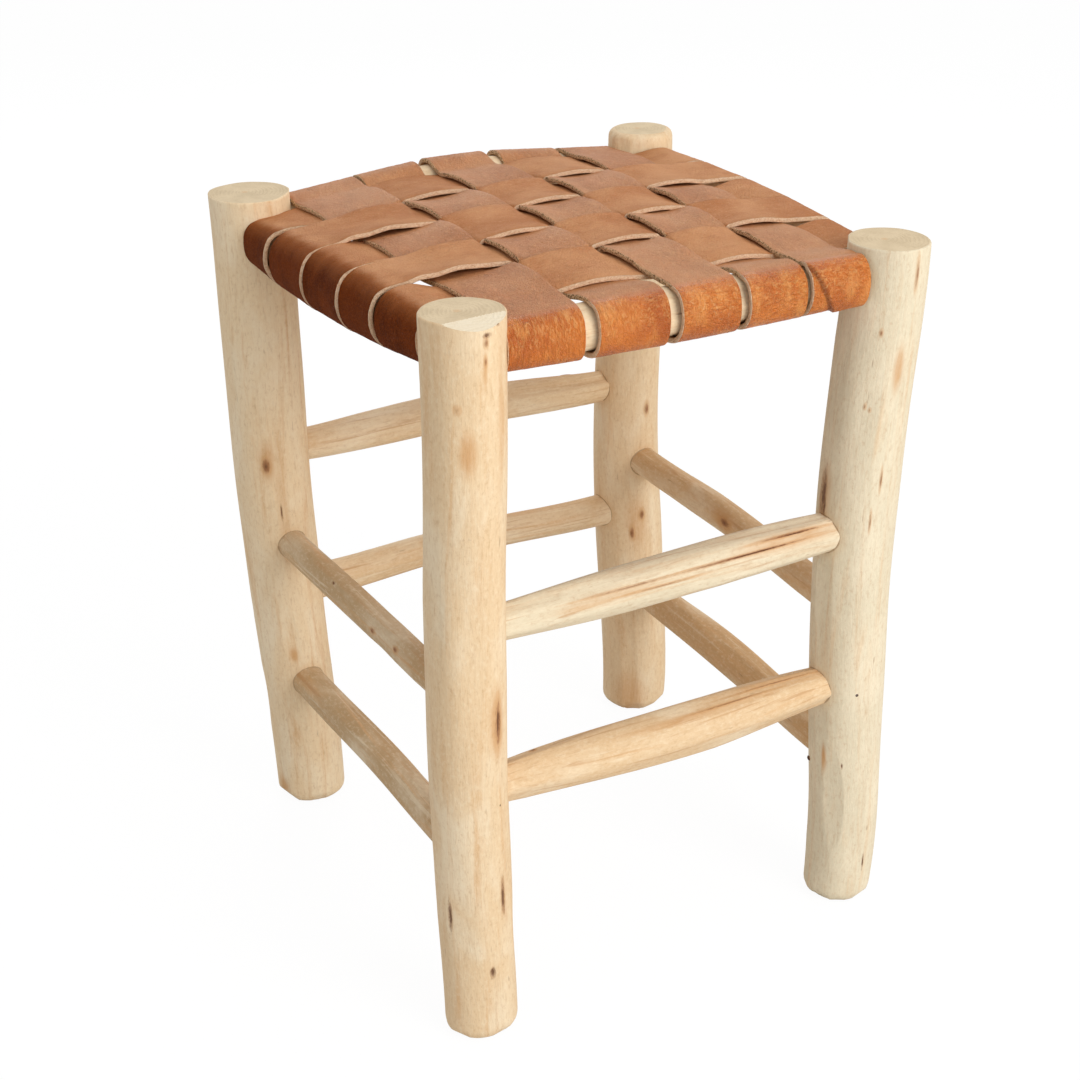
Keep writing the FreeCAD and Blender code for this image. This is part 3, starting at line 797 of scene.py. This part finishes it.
def strapTree(labels):
    make = strapMake
    tree, get = newTree("strapWeave", [(label, "NodeSocketFloat") for label in labels] + [
        ("leather", "NodeSocketMaterial")])
    top, edge, lastRow = make["topVerts"], make["edgeVerts"], make["rows"] - 1
    around = 2 * top + 2 * edge  # steps round the strap's section
    sheet = Wire(tree).node("GeometryNodeMeshGrid", {
        "Size X": 1, "Size Y": 1, "Vertices X": make["rows"], "Vertices Y": around + 1})
    place = sheet.node("GeometryNodeInputPosition")
    row = (part(place, 0) + 0.5) * lastRow
    step = (part(place, 1) + 0.5) * around
    body = rise(row, 0.2, 0.8) * fall(row, lastRow - 0.8, lastRow - 0.2)  # the end rows close the strap

    # the section: top, right edge, underside, left edge
    acrossShare = held(step / top) - held((step - top - edge) / top)
    upShare = 1 - 2 * held((step - top) / edge) + 2 * held((step - 2 * top - edge) / edge)
    isEdge = 1 - upShare ** 4
    inset = make["edgeRound"] * (1 - isEdge * body)
    half = get.width / 2
    flat = acrossShare * 2 - 1

    # distances along: round the near rail, over the seat, round the far rail
    tuck, thick, seed = get.tuck, get.thickness, get.seed
    wrapNear, wrapFar = (radius + thick / 2 + make["gap"] for radius in (get.nearRadius, get.farRadius))
    span = get.farPlace - get.nearPlace
    run = held((row - 1) / (lastRow - 2)) * (wrapNear * tuck + span + wrapFar * tuck)
    flatShare = held((run - wrapNear * tuck) / span)
    nearTurn = held((wrapNear * tuck - run) / wrapNear, 0, tuck)
    farTurn = held((run - wrapNear * tuck - span) / wrapFar, 0, tuck)
    turnBoth = nearTurn + farTurn

    def wavy(x, y, z, *detail):
        return noise(vector(x, y, z), 1, *detail) - 0.5

    drift = wavy(run * 14, seed, 0, 1) * 2 * get.wander
    spread = wavy(run * 17, seed, 7, 1) * 1.6 * get.wander
    frayed = wavy(run * 900, flat * 3, upShare * 2 + seed) * make["fray"] * isEdge * body
    belly = get.belly * rise(flatShare, 0, 0.14) * fall(flatShare, 0.86, 1)
    widen = between(get.nearWiden, get.farWiden, flatShare) + sine(flatShare * math.pi) * make["fuller"] + belly
    shift = between(get.nearShift, get.farShift, flatShare) + belly / 2
    across = flat * (half + widen / 2 - inset + spread + frayed) + drift

    pick = get.turn  # 0 on the side straps, 1 on the long ones
    off = across * (1 - 2 * pick) + shift
    spot = get.place + off
    nearPlace, farPlace = get.nearPlace + off * get.nearDrift, get.farPlace + off * get.farDrift
    nearWrap, farWrap = wrapNear + off * get.nearTaper, wrapFar + off * get.farTaper
    nearTop = get.nearHeight + off * get.nearRise + nearWrap
    farTop = get.farHeight + off * get.farRise + farWrap
    along = between(nearPlace, farPlace, flatShare)

    # the seat under the weave, eased to the rails at both ends
    def seatAt(u):
        x, y = between(u, spot, pick), between(spot, u, pick)
        return get.level + get.tiltX * x + get.tiltY * y + get.twist * x * y \
            + get.curveX * x * x + get.curveY * y * y

    crossings = [getattr(get, "crossing%d" % number) for number in range(make["count"])]
    first, last = crossings[0], crossings[-1]
    nearEase = fall(along, nearPlace, first - get.crossingWidth / 2)
    farEase = rise(along, last + get.crossingWidth / 2, farPlace)
    level = seatAt(along) + (nearTop - seatAt(nearPlace)) * nearEase + (farTop - seatAt(farPlace)) * farEase

    # over one, under one, saddle shaped where two straps cross
    pitch = get.crossingPitch
    phase = (held((along - first) / pitch, -0.5, 0) + held((along - last) / pitch, 0, 0.5)) * make["outerDrop"]
    for before, after in zip(crossings, crossings[1:]):
        phase = phase + held((along - before) / (after - before))
    wave = cosine(phase * math.pi)
    sharp = held(wave / cosine(get.crossingWidth / pitch * (math.pi / 2)), -1, 1)
    beyond = most(first - along, along - last) / pitch
    square = (sharp * 1.5 - sharp * sharp * sharp * 0.5) * (1 - rise(beyond, 0.1, 0.5) * 0.6)
    saddle = cosine(held(across / get.ownPitch, -0.5, 0.5) * math.pi)
    saddle = between(saddle, 1, held((off - shift) * get.outerSide / half))
    weave = get.startSide * (thick / 2 + make["gap"] / 2) * (square * (1 - saddle) + wave)
    weave = weave * (1 - nearEase) * (1 - farEase)
    lift = most(weave, 0) * make["over"] + least(weave, 0) * make["under"]

    # wrinkles, and a corner turned over on the front of one strap
    bend = rise(turnBoth, 0, 0.5) * fall(turnBoth, 1.6, 2.6)
    soft = wavy(run * 38, across * 55, seed)
    fine = wavy(run * 330, across * 70, seed + 3, 2, 0.6, 0.4)
    lengthwise = wavy(run * 90, across * 620, seed + 5, 2, 0.6, 0.5)
    ruck = (soft * 1.6 + fine * (0.4 + bend * 1.2) + lengthwise * 1.1) * get.ruck
    foldSide = off - shift - (make["foldStart"] + nearTurn * make["foldLean"])
    folded = rise(nearTurn, 0.1, 0.5) * fall(nearTurn, 2.6, 3.2) * rise(get.fold, 0, 0.0001)
    creased = fall(size(foldSide), 0.0003, 0.0022) * folded
    turnedOver = rise(foldSide, -0.0006, 0.002) * folded * get.fold

    # edges that lap over the next strap on a rail, or gape beside it
    backward = (shift - off) / (half + widen / 2)
    proud = rise(backward, 0.1, 1) * rise(nearTurn + farTurn * 0.3, 0.25, 0.9) * fall(turnBoth, 1.5, 2.5) \
        * held(get.outerSide + 1)
    gape = rise(backward, -0.2, 1) * rise(flatShare, 0, 0.05) * fall(flatShare, 0.1, 0.2) \
        * most(get.startSide, 0) * (1 - pick) * make["gape"]
    full = sine(turnBoth * 2) * sine(turnBoth * 2) * fall(turnBoth, 2.4, 3) * make["corner"]
    out = upShare * thick / 2 * body + ruck + proud * make["shingle"] + turnedOver + full
    u = along - nearWrap * sine(nearTurn) + farWrap * sine(farTurn) + out * (sine(farTurn) - sine(nearTurn))
    z = level + lift + gape + nearWrap * (cosine(nearTurn) - 1) + farWrap * (cosine(farTurn) - 1) \
        + out * (cosine(nearTurn) + cosine(farTurn) - 1)

    for name, value in (
            ("strapCo", vector(run, across + upShare * 0.002, seed * 0.37)),
            ("strapFace", vector(isEdge, upShare, bend)),
            ("strapWear", vector(nearTurn + farTurn * 0.5, creased, 1 - pick))):
        sheet = sheet.node("GeometryNodeStoreNamedAttribute", {"Geometry": sheet, "Name": name, "Value": value},
                           data_type="FLOAT_VECTOR", domain="POINT")
    shaped = sheet.node("GeometryNodeSetPosition", {
        "Geometry": sheet, "Position": vector(between(u, spot, pick), between(spot, u, pick), z)})
    welded = shaped.node("GeometryNodeMergeByDistance", {"Geometry": shaped, "Distance": make["weld"]})
    closeTree(smoothed(welded), get.leather)
    return tree


def runTree(piece, tree, values):  # the modifier's result as a plain mesh
    modifier = piece.modifiers.new("build", "NODES")
    modifier.node_group = tree
    for item in tree.interface.items_tree:
        if item.in_out == "INPUT" and item.name in values:
            modifier[item.identifier] = values[item.name]
    view = bpy.context.evaluated_depsgraph_get()
    mesh = bpy.data.meshes.new_from_object(piece.evaluated_get(view), depsgraph=view)
    piece.modifiers.clear()
    piece.data = mesh
    mesh.name = piece.name


weaveTree = strapTree(strapValues("side", 0))
for family in strapFamilies:
    for number in range(strapMake["count"]):
        name = "%sStrap%d" % (family, number + 1)
        strap = addObject(name, bpy.data.meshes.new(name))
        runTree(strap, weaveTree, {**strapValues(family, number), "leather": leathers[family]})
        enlist(strap, "strap_%s_%d" % (family, number + 1))
print("straps done")

# tacks and nails

steelLook = dict(
    tones(steel=(150, 148, 144), dull=(104, 100, 94), rust=(96, 62, 40)), bump=(0.2, 0.0002),
)


def steelMaterial(name, rusty):
    look = steelLook
    material, start, shader = newMaterial(name)
    at = start.node("ShaderNodeTexCoord", out="Object")
    cloud = noise(at, 900, 3, 0.6)
    spots = noise(at, 420, 3, 0.65)
    metal = blend(rise(cloud, 0.35, 0.7), look["steel"], look["dull"])
    colour = blend(rise(spots, 0.62 - rusty * 0.25, 0.78 - rusty * 0.2), metal, look["rust"])
    join(1 - rise(spots, 0.6, 0.8) * 0.7, shader.inputs["Metallic"])
    dress(shader, colour, 0.38 + cloud * 0.25, cloud, look["bump"])
    return material


fastenerSizes = ("headRadius", "headHeight", "shankRadius", "length")
tackMake = dict(
    headRadius=0.003, headHeight=0.0011, shankRadius=0.0009, length=0.011, perEnd=2,
    angle=math.radians(203), seed=4,
)
nailMake = dict(
    headRadius=0.0017, headHeight=0.0008, shankRadius=0.001, length=0.03, sink=0.0002,
    offset=0.008, seed=9,
)
nailSides = {
    "rung_front_lower": (0, -1, 0), "rung_left_lower": (1, 0, 0), "rung_back_lower": (0, 1, 0),
    "rung_right_lower": (-1, 0, 0),
}


def fastenerTree():
    tree, get = newTree("fasteners", [("points", "NodeSocketGeometry"), ("steel", "NodeSocketMaterial")] + [
        (label, "NodeSocketFloat") for label in (*fastenerSizes, "seed")])
    start = Wire(tree)
    ball = start.node("GeometryNodeMeshUVSphere", {"Segments": 18, "Rings": 10, "Radius": 1})
    place = start.node("GeometryNodeInputPosition")
    ragged = (noise(place, (1.6, 1.6, 1.6), 1) - 0.5) * 0.12 + 1
    x, y, z = parts(place)
    wide = get.headRadius * ragged
    dome = vector(x * wide, y * wide, most(z, 0) * get.headHeight)
    head = start.node("GeometryNodeSetPosition", {"Geometry": ball, "Position": dome})
    welded = start.node("GeometryNodeMergeByDistance", {"Geometry": head, "Distance": 0.000001})
    shank = start.node("GeometryNodeMeshCone", {
        "Vertices": 12, "Side Segments": 3, "Radius Top": get.shankRadius, "Radius Bottom": 0.00015,
        "Depth": get.length})
    lowered = start.node("GeometryNodeTransform", {
        "Geometry": shank, "Translation": vector(0, 0, get.headHeight * 0.4 - get.length)})
    both = tree.nodes.new("GeometryNodeJoinGeometry")
    for piece in (lowered, welded):
        join(piece, both.inputs[0])
    shape = smoothed(Wire(tree, both.outputs[0]))
    facing = start.node("GeometryNodeInputNamedAttribute", {"Name": "outward"}, data_type="FLOAT_VECTOR")
    turn = start.node("FunctionNodeAlignRotationToVector", {"Vector": facing}, axis="Z")
    spin = start.node("FunctionNodeRandomValue", {2: 0, 3: 6.283, "Seed": get.seed}, 1, data_type="FLOAT")
    twist = start.node("FunctionNodeAxisAngleToRotation", {"Axis": (0, 0, 1), "Angle": spin})
    rotation = start.node("FunctionNodeRotateRotation", {"Rotation": turn, "Rotate By": twist},
                          rotation_space="LOCAL")
    many = start.node("GeometryNodeInstanceOnPoints", {
        "Points": get.points, "Instance": shape, "Rotation": rotation})
    closeTree(many, get.steel)
    return tree


def driveFasteners(node, seats, make, steel, seed):
    mesh = bpy.data.meshes.new(camel(node))
    mesh.from_pydata([tuple(spot) for spot, _ in seats], [], [])
    keepVectors(mesh, "outward", [way for _, way in seats])
    piece = addObject(mesh.name, mesh)
    sizes = {label: make[label] for label in fastenerSizes}
    runTree(piece, fasteners, {**sizes, "seed": float(seed), "steel": steel})
    enlist(piece, node)


def tackSeats(family, end):
    data = strapFamilies[family]
    turn = math.pi / 2 + tackMake["angle"] * (-1 if end else 1)
    way = np.array([0, math.cos(turn), math.sin(turn)])
    order = [0, 1, 2] if family == "long" else [1, 0, 2]
    found = []
    for number, across in enumerate(strapPlaces(family)):
        for tack in range(tackMake["perEnd"]):
            at = across + data["width"] * ((tack + 0.5) / tackMake["perEnd"] - 0.5)
            at += data["farShift" if end else "nearShift"][number] / 1000
            along, height, radius = railAt(data["rails"][end], at)
            reach = radius + strapMake["gap"] + strapMake["thickness"]
            found.append(((np.array([at, along, height]) + reach * way)[order], way[order]))
    return found


def nailSeats():
    found = []
    for node, outward in nailSides.items():
        stick, outward = sticks[node], np.array(outward, float)
        along = stickStem(stick).axes[2]
        for leg, height, way in zip(stick["legs"], stick["heights"], (1, -1)):
            inward = nailMake["sink"] + nailMake["headHeight"]
            surface = math.sqrt(legGirth(leg, height) ** 2 - nailMake["offset"] ** 2) - inward
            found.append((legSpot(leg, height) + along * way * nailMake["offset"] + outward * surface, outward))
    return found


fasteners = fastenerTree()
tackSteel = steelMaterial("tackSteel", 0.3)
nailSteel = steelMaterial("nailSteel", 1.0)
for family, end, side in (("long", 0, "front"), ("long", 1, "back"), ("side", 0, "left"), ("side", 1, "right")):
    driveFasteners("tacks_" + side, tackSeats(family, end), tackMake, tackSteel,
                   tackMake["seed"] + end)
driveFasteners("joint_nails", nailSeats(), nailMake, nailSteel, nailMake["seed"])
print("tacks and nails done")

# studio

studio = dict(
    floorHalf=9, floorLevel=-0.0004, floor=(0.7, 0.7, 0.7, 1), paper=(1, 1, 1, 1),
    fill=0.63, white=1, floorWhite=1.05, floorShow=0.9, aim=(0, 0, 0.25),
    key=dict(place=(0.62, -2.1, 1.25), size=1.6, power=32.5),
    rim=dict(place=(0.8, 1.9, 1.5), size=1.6, power=10),
)
cameraSet = dict(
    place=(-0.4806, -0.8859, 0.741), azimuth=-27.92, elevation=26.75, roll=-0.5,
    focalPixels=1749.5, framePixels=1080, sensor=36,
)


def makeFloor():
    half, level = studio["floorHalf"], studio["floorLevel"]
    corners = ((-half, -half), (half, -half), (half, half), (-half, half))
    mesh = bpy.data.meshes.new("floor")
    mesh.from_pydata([(x, y, level) for x, y in corners], [], [(0, 1, 2, 3)])
    material = bpy.data.materials.new("paleFloor")
    start = blankTree(material)
    matt = start.node("ShaderNodeBsdfDiffuse", {"Color": studio["floor"]})
    white = start.node("ShaderNodeEmission", {"Color": studio["paper"], "Strength": studio["floorWhite"]})
    seen = start.node("ShaderNodeLightPath", out="Is Camera Ray")
    shown = start.node("ShaderNodeMixShader", {0: seen * studio["floorShow"], 1: matt, 2: white})
    below = start.node("ShaderNodeNewGeometry", out="Backfacing")
    clear = start.node("ShaderNodeBsdfTransparent")
    shown = start.node("ShaderNodeMixShader", {0: below, 1: shown, 2: clear})
    show(shown, "ShaderNodeOutputMaterial")
    mesh.materials.append(material)
    addObject("floor", mesh)


def makeWorld():
    scene.world = bpy.data.worlds.new("studio")
    start = blankTree(scene.world)
    fill, white = (start.node("ShaderNodeBackground", {"Color": studio["paper"], "Strength": studio[key]})
                   for key in ("fill", "white"))
    camera, glossy, clear = (start.node("ShaderNodeLightPath", out="Is %s Ray" % name)
                             for name in ("Camera", "Glossy", "Transmission"))
    direct = most(most(camera, glossy), clear)
    shown = start.node("ShaderNodeMixShader", {0: direct, 1: fill, 2: white})
    show(shown, "ShaderNodeOutputWorld")


def makeLight(name):
    lamp = bpy.data.lights.new(name, "AREA")
    lamp.shape = "DISK"
    lamp.size = studio[name]["size"]
    lamp.energy = studio[name]["power"]
    place = Vector(studio[name]["place"])
    facing = (place - Vector(studio["aim"])).to_track_quat("Z", "Y").to_matrix().to_4x4()
    addObject(name, lamp).matrix_world = Matrix.Translation(place) @ facing


def makeCamera():
    turn, lift, roll = (math.radians(cameraSet[key]) for key in ("azimuth", "elevation", "roll"))
    back = Vector((math.sin(turn) * math.cos(lift), -math.cos(turn) * math.cos(lift), math.sin(lift)))
    right = Vector((0, 0, 1)).cross(back).normalized()
    up = back.cross(right)
    axes = Matrix((
        right * math.cos(roll) + up * math.sin(roll), up * math.cos(roll) - right * math.sin(roll), back))
    data = bpy.data.cameras.new("camera")
    data.sensor_width = cameraSet["sensor"]
    data.lens = cameraSet["focalPixels"] * cameraSet["sensor"] / cameraSet["framePixels"]
    scene.camera = addObject("camera", data)
    scene.camera.matrix_world = Matrix.Translation(cameraSet["place"]) @ axes.transposed().to_4x4()


makeFloor()
makeWorld()
makeLight("key")
makeLight("rim")
makeCamera()
scene.view_settings.view_transform = "Standard"
print("studio done")
